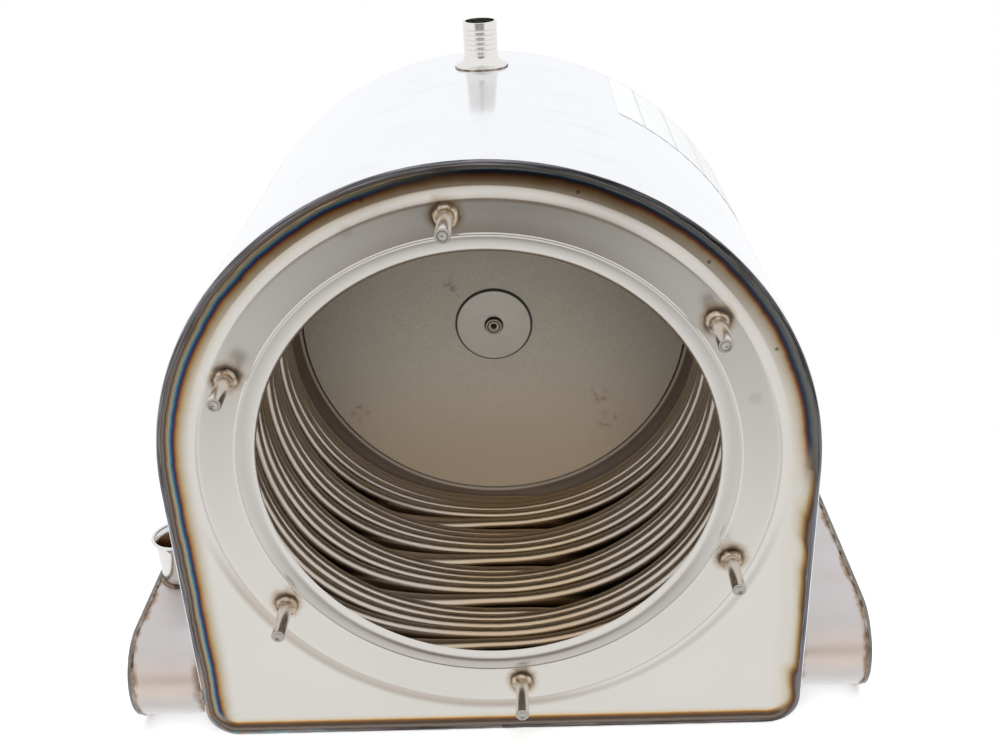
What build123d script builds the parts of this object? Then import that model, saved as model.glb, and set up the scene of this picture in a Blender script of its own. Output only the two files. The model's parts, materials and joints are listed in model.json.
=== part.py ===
from build123d import *
import math
import os

# Stainless steel heat exchanger for a condensing boiler, in millimetres.
# X runs to the right, Y from the front to the rear and Z up.
# The origin is the middle of the flat base.

# Sheet metal and clearances
sheet = 1.5
fit_gap = 0.3
overrun = 5.0

# Coils of flattened tube: a bundle of turns each, with a free slot for the crossing end
coil_count = 4
coil_turns = 4
coil_inner_radius = 106.0
tube_width = 20.0
tube_thickness = 6.2
turn_gap = 0.7
last_turn_spread = 4.5
tube_crest_share = 0.42
tube_shoulder_share = 0.85
stations_per_turn = 30
tube_reach = 3.0

# The tube shifts by one pitch on the way up the left side, clear of the straight ends
shift_start_deg = 36.0
shift_end_deg = 100.0

# Shell: an arch over two straight sides and a flat base, with room round the coils
side_room = 13.5
base_room = 16.1
front_room = 7.7
rear_room = 44.5
coil_rise = 4.3
corner_radius = 15.0
plate_recess = 1.5

# Front plate: pressed sheet with a raised seat and a neck rolled in round the opening
neck_inset = 7.5
lip_radius = 5.0
neck_straight = 6.0
ridge_room = 2.3
ridge_height = 0.9
ridge_width = 2.4
step_room = 2.1
step_width = 6.0

# Studs on one circle round the opening
stud_count = 6
stud_turn_deg = 5.3
stud_room = 1.9
stud_radius = 3.0
stud_length = 22.7
stud_tip_chamfer = 0.8
collar_radius = 5.4
collar_height = 2.6

# Headers: round-ended tanks on both sides of the shell, over the tube ends
header_width = 34.8
header_drop = 3.4
header_room = 8.3
header_near_end = 15.3
header_far_end = 33.4
cover_thickness = 2.0

# Pipe stubs with flared ends that rise from the headers
stub_radius = 11.0
stub_wall = 1.3
stub_height = 25.0
left_stub_room = 0.8
right_stub_room = 4.0
left_stub_setback = 66.0
right_stub_setback = 35.5
stub_flare = 2.2
stub_flare_height = 2.6

# Rear wall of the combustion chamber
disc_gap = 2.9
disc_thickness = 12.0
pan_room = 0.4
pan_gap = 1.2
pan_sheet = 1.2
flange_inset = 1.4
washer_radius = 20.2
washer_thickness = 1.5
screw_radius = 4.4
screw_height = 2.2
socket_radius = 2.0
socket_depth = 1.5
post_radius = 15.0

# Hose spigot on the crown
spigot_setback = 34.0
spigot_radius = 8.3
spigot_wall = 1.2
spigot_tip = 2.0
flare_reach = 4.3
flare_height = 5.5
foot_edge = 1.0
foot_depth = 3.4
groove_count = 5
groove_depth = 0.35
groove_width = 1.0
groove_pitch = 2.3
groove_start = 8.0

# Flue outlet in the rear plate
flue_radius = 40.0
flue_wall = 1.2
flue_length = 24.0
flue_base_room = 37.6

# Coil sizes that follow
tube_pitch = tube_thickness + turn_gap
bundle_pitch = tube_pitch * (coil_turns + 1)
tube_radius = coil_inner_radius + tube_width / 2
coil_outer_radius = coil_inner_radius + tube_width
first_turn_depth = front_room + tube_thickness / 2 + last_turn_spread + coil_turns * tube_pitch
stack_length = bundle_pitch * (coil_count - 1)
coil_end_depth = first_turn_depth + stack_length + tube_thickness / 2

# Shell sizes and places that follow
shell_radius = coil_outer_radius + side_room + sheet
shell_depth = coil_end_depth + rear_room
coil_axis_height = coil_outer_radius + base_room + sheet
axis_height = coil_axis_height - coil_rise
front_y = -shell_depth / 2
rear_y = shell_depth / 2
plate_y = front_y + plate_recess
rear_plate_y = rear_y - plate_recess - sheet

# Front plate and stud sizes that follow
neck_radius = coil_inner_radius - neck_inset
neck_depth = lip_radius + neck_straight
lip_start_radius = neck_radius + lip_radius
ridge_radius = lip_start_radius + ridge_room + ridge_width / 2
stud_circle_radius = ridge_radius + ridge_width / 2 + stud_room + collar_radius
step_inner_radius = stud_circle_radius + collar_radius + step_room
step_outer_radius = step_inner_radius + step_width

# Header sizes that follow
tube_end_height = coil_axis_height - tube_radius
header_height = tube_end_height - header_drop
header_radius = tube_width / 2 + header_drop + header_room + sheet
header_length = stack_length + header_near_end + header_far_end

# Rear wall sizes that follow
disc_y = front_y + coil_end_depth + disc_gap
pan_back_y = disc_y + disc_thickness
pan_end_y = pan_back_y + pan_sheet
pan_outer_radius = coil_inner_radius - pan_room
disc_radius = pan_outer_radius - pan_sheet - pan_gap
flange_radius = coil_outer_radius - flange_inset
flange_end_y = disc_y + pan_sheet


def d_outline(inset):
    """Closed D outline in the XZ plane, drawn inside the shell's outer face by inset."""
    radius = shell_radius - inset
    low = inset
    corner = corner_radius - inset
    right_side = Line((radius, axis_height), (radius, low + corner))
    right_corner = RadiusArc((radius, low + corner), (radius - corner, low), corner)
    base = Line((radius - corner, low), (corner - radius, low))
    left_corner = RadiusArc((corner - radius, low), (-radius, low + corner), corner)
    left_side = Line((-radius, low + corner), (-radius, axis_height))
    arch = ThreePointArc((-radius, axis_height), (0, axis_height + radius), (radius, axis_height))
    edges = [right_side, right_corner, base, left_corner, left_side, arch]
    return make_face(Wire(edges))


def d_block(inset, y_start, y_end):
    """Solid D prism between two depths."""
    face = Plane.XZ * d_outline(inset)
    block = extrude(face, amount=y_end - y_start, dir=(0, 1, 0))
    return Pos(0, y_start, 0) * block


def along_y(radius, y_start, y_end, x, z):
    """Round bar along the depth of the shell."""
    bar = Cylinder(radius, y_end - y_start, align=(Align.CENTER, Align.CENTER, Align.MIN))
    return Pos(x, y_start, z) * Rot(-90, 0, 0) * bar


def obround_block(radius, y_start, y_end, x_start, x_end, z):
    """Round-ended bar outline in the YZ plane, pulled along X."""
    middle = (y_start + y_end) / 2
    length = y_end - y_start
    outline = Plane.YZ * SlotOverall(length, 2 * radius)
    block = extrude(outline, amount=x_end - x_start, dir=(1, 0, 0))
    return Pos(x_start, middle, z) * block


def front_plate():
    """Flat outer sheet, raised seat with a ridge, and a neck rolled in round the opening."""
    flat = d_block(sheet + fit_gap, plate_y, plate_y + sheet)
    flat -= along_y(step_outer_radius, plate_y - overrun, plate_y + overrun, 0, coil_axis_height)
    seat_y = front_y
    seat_back = seat_y + sheet
    bend = sheet + lip_radius
    outer = Line((step_outer_radius, plate_y), (step_inner_radius, seat_y))
    seat_1 = Line((step_inner_radius, seat_y), (ridge_radius + ridge_width / 2, seat_y))
    ridge = ThreePointArc(
        (ridge_radius + ridge_width / 2, seat_y),
        (ridge_radius, seat_y - ridge_height),
        (ridge_radius - ridge_width / 2, seat_y),
    )
    seat_2 = Line((ridge_radius - ridge_width / 2, seat_y), (lip_start_radius, seat_y))
    lip = RadiusArc((lip_start_radius, seat_y), (neck_radius, seat_y + lip_radius), lip_radius)
    neck = Line((neck_radius, seat_y + lip_radius), (neck_radius, seat_y + neck_depth))
    edge = Line((neck_radius, seat_y + neck_depth), (neck_radius + sheet, seat_y + neck_depth))
    neck_back = Line((neck_radius + sheet, seat_y + neck_depth), (neck_radius + sheet, seat_y + bend))
    lip_back = Line((neck_radius + sheet, seat_y + bend), (neck_radius + bend, seat_back))
    seat_3 = Line((neck_radius + bend, seat_back), (step_inner_radius, seat_back))
    outer_back = Line((step_inner_radius, seat_back), (step_outer_radius, plate_y + sheet))
    close = Line((step_outer_radius, plate_y + sheet), (step_outer_radius, plate_y))
    front = [outer, seat_1, ridge, seat_2, lip, neck, edge]
    back = [neck_back, lip_back, seat_3, outer_back, close]
    profile = make_face(Wire(front + back))
    pressed = Pos(0, 0, coil_axis_height) * revolve(profile, Axis.Y)
    return flat + pressed


def stud():
    """Stud and weld collar along -Y from the seat's face."""
    rod = Cylinder(stud_radius, stud_length, align=(Align.CENTER, Align.CENTER, Align.MIN))
    rod = chamfer(rod.edges().sort_by(Axis.Z)[-1], stud_tip_chamfer)
    collar = Cone(
        collar_radius, stud_radius + stud_tip_chamfer, collar_height,
        align=(Align.CENTER, Align.CENTER, Align.MIN),
    )
    return Rot(90, 0, 0) * (rod + collar)


def smooth(share):
    """Ease from 0 to 1 without a kink."""
    share = min(max(share, 0), 1)
    return share * share * (3 - 2 * share)


def coil_depth(turn_deg):
    """Depth of the tube's middle, behind its first straight end, at an angle along the winding."""
    turn = min(int(turn_deg // 360), coil_turns - 1)
    within = turn_deg - 360 * turn
    shift_deg = shift_end_deg - shift_start_deg
    up_left = smooth((within - shift_start_deg) / shift_deg)
    depth = -tube_pitch * (turn + up_left)
    if turn == coil_turns - 1:
        down_right = smooth((within - 360 + shift_end_deg) / shift_deg)
        depth -= last_turn_spread * (up_left - down_right)
    return depth


def tube_section(middle, radial, forward):
    """Flattened tube outline across its path: eight sides, long way round the radius."""
    crest = tube_width / 2
    shoulder = crest * tube_shoulder_share
    half = tube_thickness / 2
    crest_half = half * tube_crest_share
    corners = [
        (crest, crest_half), (shoulder, half), (-shoulder, half), (-crest, crest_half),
        (-crest, -crest_half), (-shoulder, -half), (shoulder, -half), (crest, -crest_half),
    ]
    outline = make_face(Polyline(*corners, close=True))
    return Plane(origin=middle, x_dir=radial, z_dir=forward) * outline


def coil(start_y):
    """Four turns of tube with a straight end to the right header and one to the left header."""
    reach = shell_radius + tube_reach
    down = (0, 0, -1)
    left = (-1, 0, 0)
    sections = [tube_section((reach, start_y, tube_end_height), down, left)]
    steps = coil_turns * stations_per_turn
    for step in range(steps + 1):
        turn_deg = 360 * step / stations_per_turn
        angle = math.radians(turn_deg)
        radial = (-math.sin(angle), 0, -math.cos(angle))
        forward = (-math.cos(angle), 0, math.sin(angle))
        middle = (
            radial[0] * tube_radius,
            start_y + coil_depth(turn_deg),
            coil_axis_height + radial[2] * tube_radius,
        )
        sections.append(tube_section(middle, radial, forward))
    end_y = start_y + coil_depth(360 * coil_turns)
    sections.append(tube_section((-reach, end_y, tube_end_height), down, left))
    return loft(sections, ruled=True)


def tube_slot(side, y):
    """Slot through the shell's side wall for one tube end."""
    slot = Box(
        2 * (sheet + overrun),
        tube_thickness + 2 * fit_gap,
        tube_width + 2 * fit_gap,
    )
    return Pos(side * shell_radius, y, tube_end_height) * slot


def header_body(y_start, side):
    """Wrapped sheet of one header, trimmed to the shell."""
    x_inner = shell_radius - corner_radius
    x_outer = shell_radius + header_width - cover_thickness
    y_end = y_start + header_length
    tank = obround_block(header_radius, y_start, y_end, x_inner, x_outer, header_height)
    hollow = obround_block(
        header_radius - sheet, y_start + sheet, y_end - sheet,
        x_inner - overrun, x_outer + overrun, header_height,
    )
    tank -= hollow
    if side < 0:
        tank = mirror(tank, Plane.YZ)
    tank -= d_block(-fit_gap, front_y - overrun, rear_y + overrun)
    return tank


def header_cover(y_start, side):
    """Flat outer plate that closes one header."""
    x_outer = shell_radius + header_width
    y_end = y_start + header_length
    plate = obround_block(
        header_radius, y_start, y_end, x_outer - cover_thickness, x_outer, header_height,
    )
    if side < 0:
        plate = mirror(plate, Plane.YZ)
    return plate


def stub_place(side, y):
    """Foot of a pipe stub on the flat top of its header."""
    room = left_stub_room if side < 0 else right_stub_room
    inset = cover_thickness + room + stub_radius
    x = side * (shell_radius + header_width - inset)
    return Pos(x, y, header_height + header_radius)


def stub():
    """Pipe stub with a flared end, set through the header's sheet."""
    bore = stub_radius - stub_wall
    straight = stub_height - stub_flare_height
    flare_edge = stub_radius + stub_flare
    outline = Polyline(
        (bore, -sheet), (bore, straight), (bore + stub_flare, stub_height),
        (flare_edge, stub_height), (flare_edge, stub_height - stub_wall),
        (stub_radius, straight), (stub_radius, -sheet), close=True,
    )
    profile = Plane.XZ * make_face(outline)
    return revolve(profile, Axis.Z)


def spigot():
    """Hose spigot with ring grooves and a curved flare whose foot follows the crown."""
    bore = spigot_radius - spigot_wall
    flare_radius = spigot_radius + flare_reach
    height = groove_start + groove_count * groove_pitch + spigot_tip
    flare_end = foot_edge + flare_height
    mid_share = math.sqrt(1 / 2)
    flare_mid = (flare_radius - flare_reach * mid_share, flare_end - flare_height * mid_share)
    points = [(spigot_radius, flare_end)]
    for groove in range(groove_count):
        low = groove_start + groove * groove_pitch
        points += [
            (spigot_radius, low), (spigot_radius - groove_depth, low + groove_width / 2),
            (spigot_radius, low + groove_width),
        ]
    points += [(spigot_radius, height), (bore, height), (bore, -foot_depth)]
    points += [(flare_radius, -foot_depth), (flare_radius, foot_edge)]
    body = Polyline(*points)
    flare = ThreePointArc((flare_radius, foot_edge), flare_mid, (spigot_radius, flare_end))
    profile = Plane.XZ * make_face(Wire([*body.edges(), flare]))
    tube = spigot_place() * revolve(profile, Axis.Z)
    return tube - along_y(shell_radius + fit_gap, front_y, rear_y, 0, axis_height)


def spigot_place():
    """Point on the crown under the spigot."""
    return Pos(0, rear_y - spigot_setback, axis_height + shell_radius)


def shell(left_ends, right_ends):
    """Wrapper sheet with slots for the tube ends and a hole under the spigot."""
    body = d_block(0, front_y, rear_y) - d_block(sheet, front_y - overrun, rear_y + overrun)
    for y in left_ends:
        body -= tube_slot(-1, y)
    for y in right_ends:
        body -= tube_slot(1, y)
    hole = Cylinder(spigot_radius - spigot_wall + fit_gap, 2 * (sheet + overrun))
    return body - spigot_place() * hole


def rear_wall():
    """Insulation disc in its flanged pan, with the washer, screw and post that hold it."""
    pieces = {}
    pan = along_y(pan_outer_radius, disc_y, pan_end_y, 0, coil_axis_height)
    pan += along_y(flange_radius, disc_y, flange_end_y, 0, coil_axis_height)
    pan -= along_y(pan_outer_radius - pan_sheet, disc_y - overrun, pan_back_y, 0, coil_axis_height)
    pieces["baffle_pan"] = pan
    pieces["insulation_disc"] = along_y(disc_radius, disc_y, pan_back_y, 0, coil_axis_height)
    washer_y = disc_y - washer_thickness
    pieces["disc_washer"] = along_y(washer_radius, washer_y, disc_y, 0, coil_axis_height)
    screw_y = washer_y - screw_height
    screw = along_y(screw_radius, screw_y, washer_y, 0, coil_axis_height)
    screw -= along_y(socket_radius, screw_y - overrun, screw_y + socket_depth, 0, coil_axis_height)
    pieces["disc_screw"] = screw
    pieces["baffle_post"] = along_y(post_radius, pan_end_y, rear_plate_y, 0, coil_axis_height)
    return pieces


def flue_outlet():
    """Rear plate and the round collar set through it."""
    height = flue_base_room + flue_radius
    end_y = rear_y + flue_length
    plate = d_block(sheet + fit_gap, rear_plate_y, rear_plate_y + sheet)
    plate -= along_y(flue_radius + fit_gap, rear_plate_y - overrun, rear_y + overrun, 0, height)
    collar = along_y(flue_radius, rear_plate_y, end_y, 0, height)
    collar -= along_y(flue_radius - flue_wall, rear_plate_y - overrun, end_y + overrun, 0, height)
    return {"rear_plate": plate, "flue_collar": collar}


def header(side, start_y, stub_y):
    """One header with its cover and its pipe stub."""
    name = "left" if side < 0 else "right"
    foot = stub_place(side, stub_y)
    hole = foot * Cylinder(stub_radius + fit_gap, 2 * (sheet + overrun))
    return {
        f"{name}_header": header_body(start_y, side) - hole,
        f"{name}_header_cover": header_cover(start_y, side),
        f"{name}_stub": foot * stub(),
    }


def main():
    coil_starts = [front_y + first_turn_depth + i * bundle_pitch for i in range(coil_count)]
    coil_ends = [y + coil_depth(360 * coil_turns) for y in coil_starts]
    nodes = {"shell": shell(coil_ends, coil_starts), "front_plate": front_plate()}

    for number in range(stud_count):
        angle = math.radians(90 + stud_turn_deg - 360 * number / stud_count)
        x = stud_circle_radius * math.cos(angle)
        z = coil_axis_height + stud_circle_radius * math.sin(angle)
        nodes[f"stud_{number + 1}"] = Pos(x, front_y, z) * stud()

    for number, y in enumerate(coil_starts):
        nodes[f"coil_{number + 1}"] = coil(y)

    left_start = coil_ends[0] - header_near_end
    right_start = coil_starts[0] - header_far_end
    nodes |= header(-1, left_start, left_start + left_stub_setback)
    nodes |= header(1, right_start, right_start + header_length - right_stub_setback)
    nodes |= rear_wall()
    nodes |= flue_outlet()
    nodes["top_spigot"] = spigot()

    os.makedirs("parts", exist_ok=True)
    for name, solid in nodes.items():
        export_step(solid, f"parts/{name}.step")


main()
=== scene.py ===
import json
import math

import bmesh
import bpy
from mathutils import Matrix, Vector, noise


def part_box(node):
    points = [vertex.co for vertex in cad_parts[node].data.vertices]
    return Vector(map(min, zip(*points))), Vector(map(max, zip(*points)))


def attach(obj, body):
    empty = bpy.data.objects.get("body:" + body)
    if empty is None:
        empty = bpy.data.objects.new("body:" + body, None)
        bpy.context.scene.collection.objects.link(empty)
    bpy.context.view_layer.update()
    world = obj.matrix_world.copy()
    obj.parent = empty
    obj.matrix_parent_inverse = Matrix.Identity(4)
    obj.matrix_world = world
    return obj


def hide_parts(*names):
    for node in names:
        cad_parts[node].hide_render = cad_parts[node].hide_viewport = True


# Looks of a stainless steel boiler heat exchanger, in metres, in the part's own frame.
# X runs to the right, Y from the front to the rear and Z up.

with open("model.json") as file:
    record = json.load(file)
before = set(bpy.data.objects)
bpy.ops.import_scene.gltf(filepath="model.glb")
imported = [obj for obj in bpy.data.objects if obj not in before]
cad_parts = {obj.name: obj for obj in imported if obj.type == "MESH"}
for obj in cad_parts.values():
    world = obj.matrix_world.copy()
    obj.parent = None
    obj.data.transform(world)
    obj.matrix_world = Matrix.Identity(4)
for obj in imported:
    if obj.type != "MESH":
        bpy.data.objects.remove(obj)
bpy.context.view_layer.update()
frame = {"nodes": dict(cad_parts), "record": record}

MM = 0.001

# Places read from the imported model
SHELL_LOW, SHELL_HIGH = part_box("shell")
FRONT_Y = SHELL_LOW.y
REAR_Y = SHELL_HIGH.y
SHELL_RADIUS = SHELL_HIGH.x
ARCH_Z = SHELL_HIGH.z - SHELL_RADIUS
CORNER_RADIUS = 15 * MM
MOUNTS = {mount["name"]: mount for mount in frame["record"]["mounts"]}
COIL_Z = MOUNTS["door_studs"]["pos_m"][2]
STUD_CIRCLE = MOUNTS["door_studs"]["dims"]["pcd_mm"] * MM / 2
STUD_NAMES = [f"stud_{number}" for number in range(1, 7)]
COIL_NAMES = [f"coil_{number}" for number in range(1, 5)]
HEADER_SEAM_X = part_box("right_header_cover")[0].x
STUB_FOOT_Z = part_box("right_header_cover")[1].z
STUB_TOP_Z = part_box("left_stub")[1].z
WASHER_RADIUS = (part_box("disc_washer")[1].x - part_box("disc_washer")[0].x) / 2

# Camera of the photograph, with the picture taken as 1000 by 750 pixels
CAMERA_PLACE = Vector((0.0216, -0.5236, 0.4064))
CAMERA_YAW_DEG = -1.94
CAMERA_PITCH_DEG = 26.89
CAMERA_ROLL_DEG = -2.74
CAMERA_FOCAL_PX = 1177.35
PICTURE_WIDTH_PX = 1000
SENSOR_WIDTH_MM = 36
CLIP_START = 0.01

# Heat tint along the rim: millimetres from the shell's outer face, and the colour there
TINT_REACH_MM = 20
LEFT_TINT = [
    (2.2, (0.10, 0.085, 0.08)), (2.9, (0.22, 0.17, 0.14)), (3.5, (0.08, 0.058, 0.045)),
    (4.2, (0.29, 0.215, 0.14)), (4.9, (0.36, 0.32, 0.21)), (5.5, (0.13, 0.24, 0.26)),
    (6.2, (0.03, 0.10, 0.21)), (6.9, (0.04, 0.03, 0.10)), (7.5, (0.18, 0.06, 0.025)),
    (8.4, (0.37, 0.21, 0.075)), (9.8, (0.45, 0.35, 0.20)), (13.0, (0.53, 0.47, 0.36)),
    (17.0, (0.64, 0.60, 0.53)),
]
TOP_TINT = [
    (2.2, (0.10, 0.085, 0.075)), (3.2, (0.15, 0.15, 0.14)), (4.2, (0.025, 0.04, 0.06)),
    (5.4, (0.03, 0.03, 0.04)), (6.2, (0.15, 0.07, 0.03)), (7.4, (0.28, 0.18, 0.095)),
    (8.6, (0.42, 0.33, 0.22)), (9.8, (0.62, 0.57, 0.48)), (13.0, (0.68, 0.65, 0.60)),
]
RIGHT_TINT = [
    (2.2, (0.16, 0.15, 0.14)), (3.2, (0.13, 0.13, 0.12)), (4.2, (0.06, 0.085, 0.10)),
    (5.0, (0.03, 0.04, 0.075)), (5.8, (0.09, 0.04, 0.04)), (6.6, (0.27, 0.12, 0.05)),
    (7.6, (0.46, 0.35, 0.22)), (9.2, (0.56, 0.49, 0.39)), (13.0, (0.64, 0.60, 0.53)),
]
RIGHT_LOW_TINT = [
    (1.7, (0.16, 0.14, 0.14)), (2.2, (0.10, 0.045, 0.035)), (2.8, (0.21, 0.12, 0.05)),
    (3.4, (0.38, 0.26, 0.12)), (4.0, (0.50, 0.41, 0.27)), (5.0, (0.60, 0.54, 0.44)),
    (7.0, (0.66, 0.63, 0.57)),
]
BOTTOM_TINT = [
    (2.2, (0.08, 0.065, 0.055)), (2.9, (0.22, 0.18, 0.15)), (3.5, (0.09, 0.07, 0.055)),
    (4.6, (0.15, 0.09, 0.055)), (5.5, (0.24, 0.11, 0.04)), (6.1, (0.56, 0.32, 0.10)),
    (7.0, (0.66, 0.58, 0.45)), (9.0, (0.68, 0.66, 0.62)),
]

# Small marks on the plate and the board, as places across and up
TACK_MARKS = [(-0.0425, 0.2656), (-0.0932, 0.2347), (0.0399, 0.2656), (0.0903, 0.2354), (0.1189, 0.1968)]
# Painted shadows and reflections of the studs on the plate
PAINTED_STUD_SHADOWS_AND_REFLECTIONS = [(0.1114, 0.1756), (-0.0493, 0.2536)]
BOARD_STAINS = [(-0.0202, 0.1665), (0.0565, 0.0988), (0.0614, 0.0821), (-0.0776, 0.0922)]

# Melted rim: inset from the shell's outer face and depth behind its edge, and how uneven it is
RIM_SECTION_MM = [
    (0.06, 1.2), (0.10, 0.3), (0.45, -0.35), (1.0, -0.65), (1.6, -0.62), (2.2, -0.25),
    (2.8, 0.35), (3.4, 0.95), (3.9, 1.32), (4.4, 1.53), (4.0, 2.2), (1.6, 2.2),
]
RIM_SPACING = 1.6 * MM
RIM_LUMP = 0.14 * MM
RIM_LUMPS_PER_METRE = 120

# Front plate: raised seat with a lip, a ridge and a soft step, round the axis of the coils
SHEET = 1.5 * MM
PLATE_INSET = 1.8 * MM
PLATE_RECESS = 1.5 * MM
NECK_RADIUS = 98.5 * MM
LIP_ROLL_WIDTH = 7.5 * MM
LIP_ROLL_DEPTH = 5 * MM
LIP_END_DEG = 20
LIP_STEPS = 14
RIDGE_RADIUS = 107.1 * MM
RIDGE_HALF_WIDTH = 1.0 * MM
RIDGE_HEIGHT = 0.28 * MM
RIDGE_STEPS = 16
STEP_INNER = 123.4 * MM
STEP_OUTER = 128.4 * MM
STEP_LEAD = 1.4 * MM
STEP_DROP = 2.1 * MM
STEP_STEPS = 16
STEP_STRAIGHT_SHARE = 0.85
PLATE_SEGMENTS = 360

# Studs and their weld
STUD_RADIUS = 3 * MM
STUD_TIP_CHAMFER = 0.7 * MM
STUD_DIMPLE_RADIUS = 1.7 * MM
STUD_DIMPLE_DEPTH = 0.7 * MM
STUD_SEGMENTS = 40
COLLAR_RADIUS = 5.2 * MM
COLLAR_HEIGHT = 2.4 * MM
COLLAR_ROOM = 0.3 * MM
COLLAR_LUMP = 0.45 * MM
COLLAR_STEPS = 8
COLLAR_SEGMENTS = 36

# Pipe stubs with a rolled lip
STUB_BORE = 9.7 * MM
STUB_RADIUS = 11 * MM
STUB_FLARE = 1.5 * MM
STUB_LIP_RADIUS = 0.9 * MM
STUB_LIP_INSET = 0.2 * MM
STUB_LIP_DEG = (215, -35)
STUB_LIP_STEPS = 12
STUB_SEGMENTS = 64

# Weld beads: radius of each, and how they sit
COVER_BEAD = 0.8 * MM
WALL_BEAD = 1.0 * MM
STUB_BEAD = 1.1 * MM
FLUE_BEAD = 1.5 * MM
SPIGOT_BEAD = 0.45 * MM
COVER_BEAD_SINK = 0.35 * MM
WALL_BEAD_SINK = 0.3 * MM
WALL_BEAD_LIFT = 0.4 * MM
FOOT_BEAD_LIFT = 0.3 * MM
SPIGOT_BEAD_LIFT = 0.1 * MM
BEAD_SPACING = 2 * MM
BEAD_POINTS = 10
BEAD_UNEVEN_SHARE = 0.3
BEAD_LUMPS_PER_METRE = 300

# Light: plain level for matt surfaces, and lamps with place, size and power
AMBIENT = 0.42
FRONT_COLOUR = (0.24, 0.19, 0.145)
LAMP_AIM = Vector((0, 0, 0.12))
LAMPS = [
    ("lamp_key", (-0.15, -0.95, 1.2), 1.0, 9),
    ("lamp_fill", (0.05, -1.2, 0.72), 0.8, 11),
    ("lamp_top", (0.1, 0.1, 1.5), 1.2, 16),
]
FLOOR_HALF = 3.0

# Blank label on the shell, between two angles and two depths
LABEL_START = math.radians(30)
LABEL_END = math.radians(63)
LABEL_FRONT_Y = FRONT_Y + 117 * MM
LABEL_REAR_Y = REAR_Y - 3 * MM
LABEL_CELL = 19 * MM
LABEL_LIFT = 0.15 * MM
LABEL_STEPS = 48

# Coil tubes: places of the turns behind the front rim, and how the ends leave
TUBE_INNER_RADIUS = 106 * MM
TUBE_WIDTH = 20 * MM
TUBE_THICKNESS = 6.6 * MM
BUNDLE_PITCH = 34.5 * MM
SIDE_DEPTHS = [37.0 * MM, 31.0 * MM, 22.0 * MM, 10.9 * MM]
BASE_DEPTHS = [45.2 * MM, 39.8 * MM, 34 * MM, 27.5 * MM, 19.5 * MM]
TURN_DROPS = [1.9 * MM, 1.5 * MM, 0.6 * MM, 0.0 * MM, 0.0 * MM]
LEFT_SHIFT_DEG = (2, 62)
RIGHT_SHIFT_DEG = (300, 360)
STATIONS_PER_TURN = 96
SECTION_POINTS = 28
TUBE_REACH = 3 * MM
END_STATIONS = 24
END_WIDTH = 15 * MM
END_THICKNESS = 11 * MM
# Painted light on the fat ends of the tubes, added to their facing value
FAT_END_PAINTED_LIGHT = 0.5
RIGHT_END_ROUNDS = (6 * MM, 60 * MM)
RIGHT_END_SHIFT = -3 * MM
LEFT_END_SHIFT = -10 * MM
LEFT_END_DEG = 42
LEFT_END_DROP = 9 * MM
LEFT_END_HASTE = 1.6
WALL_STATIONS = 8


class Value:
    """Number or colour from a node, for sums with others and with plain numbers."""

    def __init__(self, wires, socket):
        self.wires = wires
        self.socket = socket

    def __add__(self, other):
        return self.wires.math("ADD", self, other)

    def __sub__(self, other):
        return self.wires.math("SUBTRACT", self, other)

    def __rsub__(self, other):
        return self.wires.math("SUBTRACT", other, self)

    def __mul__(self, other):
        return self.wires.math("MULTIPLY", self, other)

    def __truediv__(self, other):
        return self.wires.math("DIVIDE", self, other)

    def __abs__(self):
        return self.wires.math("ABSOLUTE", self)

    def span(self, low, high):
        """0 at low and 1 at high, held outside."""
        step = self.wires.node("ShaderNodeMapRange")
        step.interpolation_type = "SMOOTHSTEP"
        self.wires.feed(step.inputs["Value"], self)
        step.inputs["From Min"].default_value = low
        step.inputs["From Max"].default_value = high
        return Value(self.wires, step.outputs["Result"])


class Wires:
    """Makes and joins the nodes of one tree."""

    def __init__(self, tree):
        self.nodes = tree.nodes
        self.links = tree.links

    def node(self, kind):
        return self.nodes.new(kind)

    def feed(self, socket, value):
        if isinstance(value, Value):
            self.links.new(value.socket, socket)
        else:
            socket.default_value = value

    def math(self, operation, *values):
        step = self.node("ShaderNodeMath")
        step.operation = operation
        for socket, value in zip(step.inputs, values):
            self.feed(socket, value)
        return Value(self, step.outputs[0])

    def most(self, first, second):
        return self.math("MAXIMUM", first, second)

    def least(self, first, second):
        return self.math("MINIMUM", first, second)

    def length(self, first, second):
        return self.math("SQRT", first * first + second * second)

    def parts(self, vector):
        """The three numbers of a vector."""
        split = self.node("ShaderNodeSeparateXYZ")
        self.links.new(vector, split.inputs[0])
        return [Value(self, part) for part in split.outputs]

    def ray(self, kind):
        return Value(self, self.node("ShaderNodeLightPath").outputs[kind])

    def mix(self, share, first, second):
        step = self.node("ShaderNodeMix")
        step.data_type = "RGBA"
        self.feed(step.inputs["Factor"], share)
        for socket, value in ((step.inputs[6], first), (step.inputs[7], second)):
            self.feed(socket, value if isinstance(value, Value) else (*value, 1))
        return Value(self, step.outputs[2])


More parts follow.
